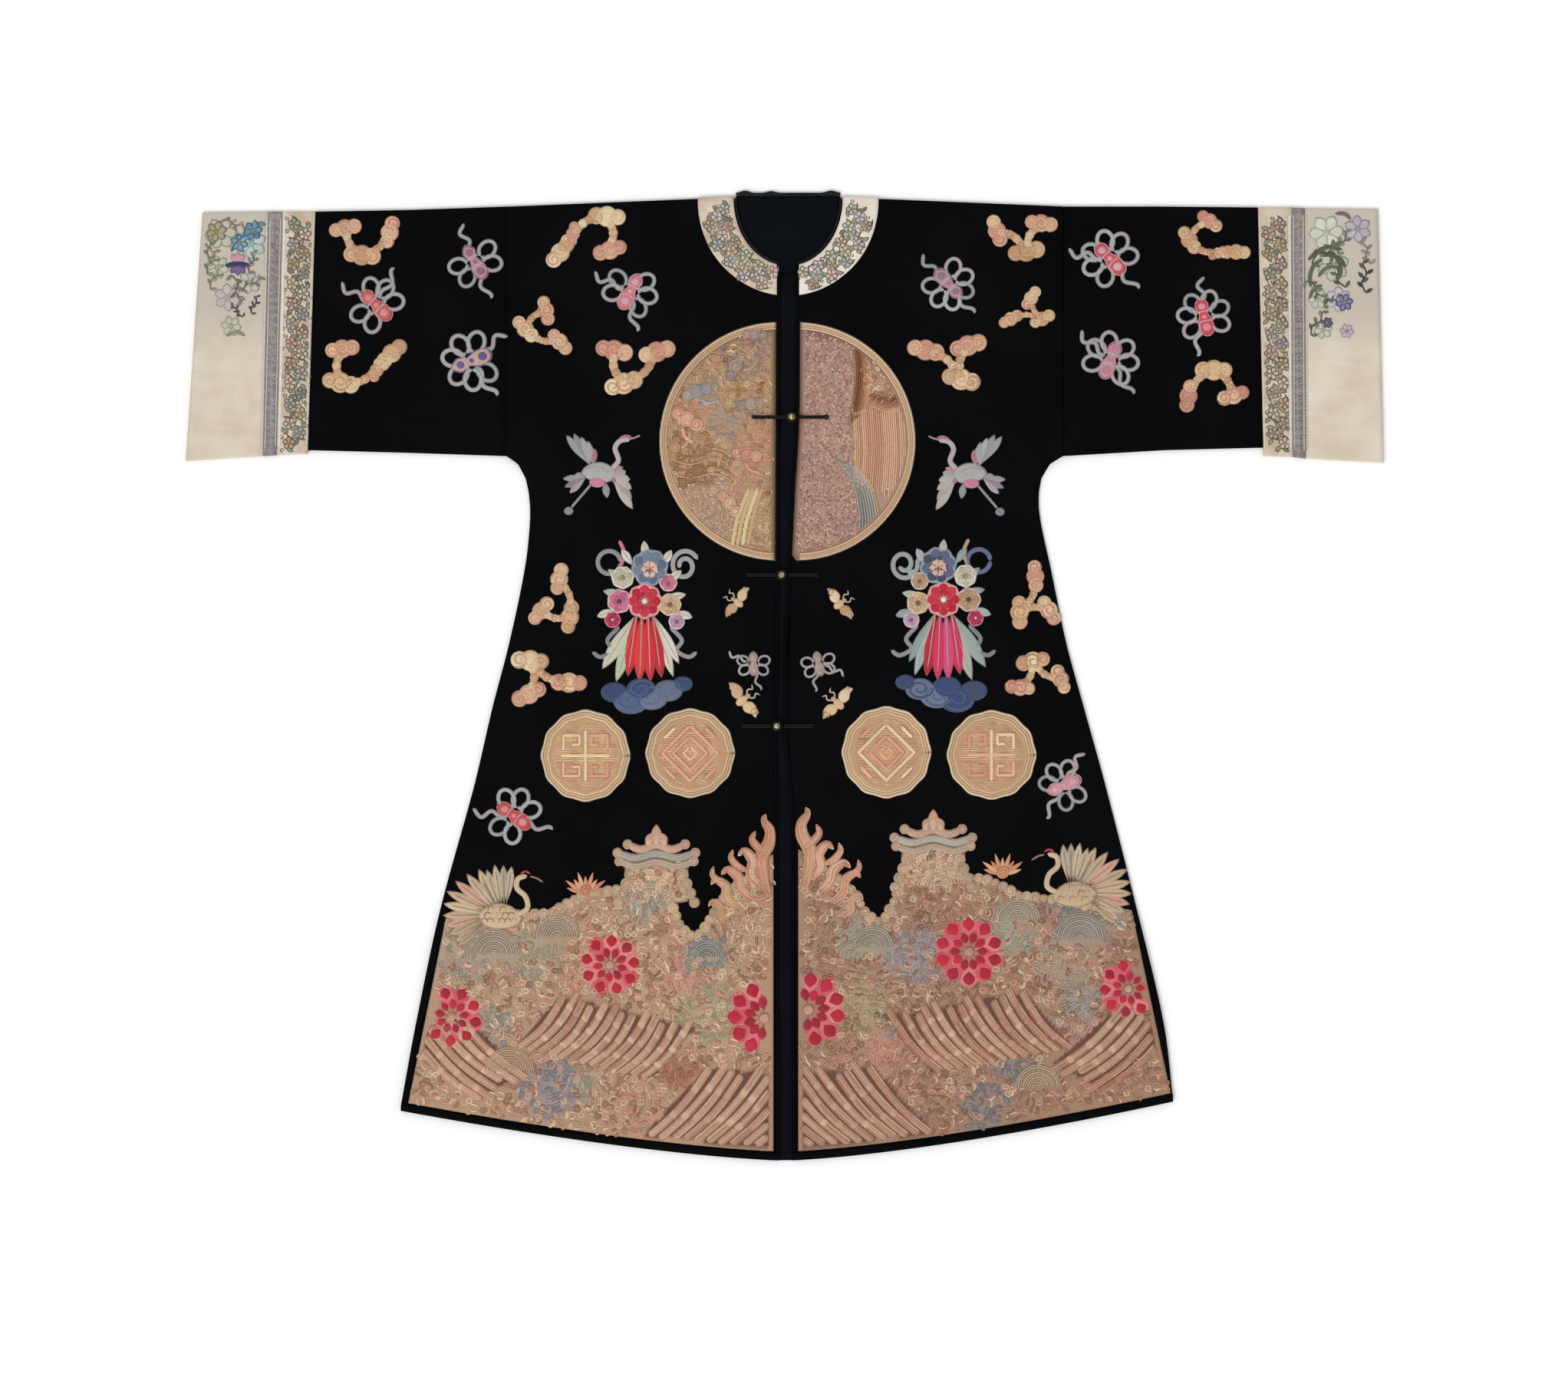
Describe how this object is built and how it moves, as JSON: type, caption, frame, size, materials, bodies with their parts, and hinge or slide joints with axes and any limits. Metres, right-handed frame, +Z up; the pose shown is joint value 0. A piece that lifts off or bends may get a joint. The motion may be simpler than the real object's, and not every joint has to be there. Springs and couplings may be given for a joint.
{
  "type": "embroidered centre-opening robe",
  "caption": "Long black silk robe with wide sleeves, round neck, centre opening, couched gold badges and a sea border, laid flat with its front up.",
  "frame": {"origin": "centre of the robe's footprint, at the level of the surface that it lies on", "axes": "+X from the left cuff to the right cuff as seen from above, +Y from hem to neck, +Z up out of the front"},
  "size_m": [1.42, 1.1498, 0.0156],
  "materials": {
    "satin": "black silk satin",
    "lining": "dark navy silk",
    "band_silk": "cream silk with floss embroidery",
    "ribbon": "woven silk ribbon",
    "cream_silk": "cream silk",
    "couching": "couched gold thread",
    "cord": "black rolled silk cord",
    "button_brass": "worn gilt"
  },
  "bodies": {
    "root": {"back_left": "satin", "back_right": "satin", "front_left": "satin", "front_right": "satin", "sleeve_left": "satin", "sleeve_right": "satin", "sleeve_band_left": "band_silk", "sleeve_band_right": "band_silk", "sleeve_ribbon_left": "ribbon", "sleeve_ribbon_right": "ribbon", "cuff_left": "cream_silk", "cuff_right": "cream_silk", "collar_left": "band_silk", "collar_right": "band_silk", "neck_cord_left": "cord", "neck_cord_right": "cord", "back_neck_cord": "cord", "edge_binding_left": "satin", "edge_binding_right": "satin", "hem_binding_left": "satin", "hem_binding_right": "satin", "vent_binding_left": "satin", "neck_lining": "lining", "underlap": "lining", "roundel_left": "couching", "roundel_right": "couching", "sea_border_left": "couching", "sea_border_right": "couching", "medallion_1": "couching", "medallion_2": "couching", "medallion_3": "couching", "medallion_4": "couching", "frog_loop_1": "cord", "frog_loop_2": "cord", "frog_loop_3": "cord", "frog_stem_1": "cord", "frog_stem_2": "cord", "frog_stem_3": "cord", "button_1": "button_brass", "button_2": "button_brass", "button_3": "button_brass"}
  },
  "joints": []
}
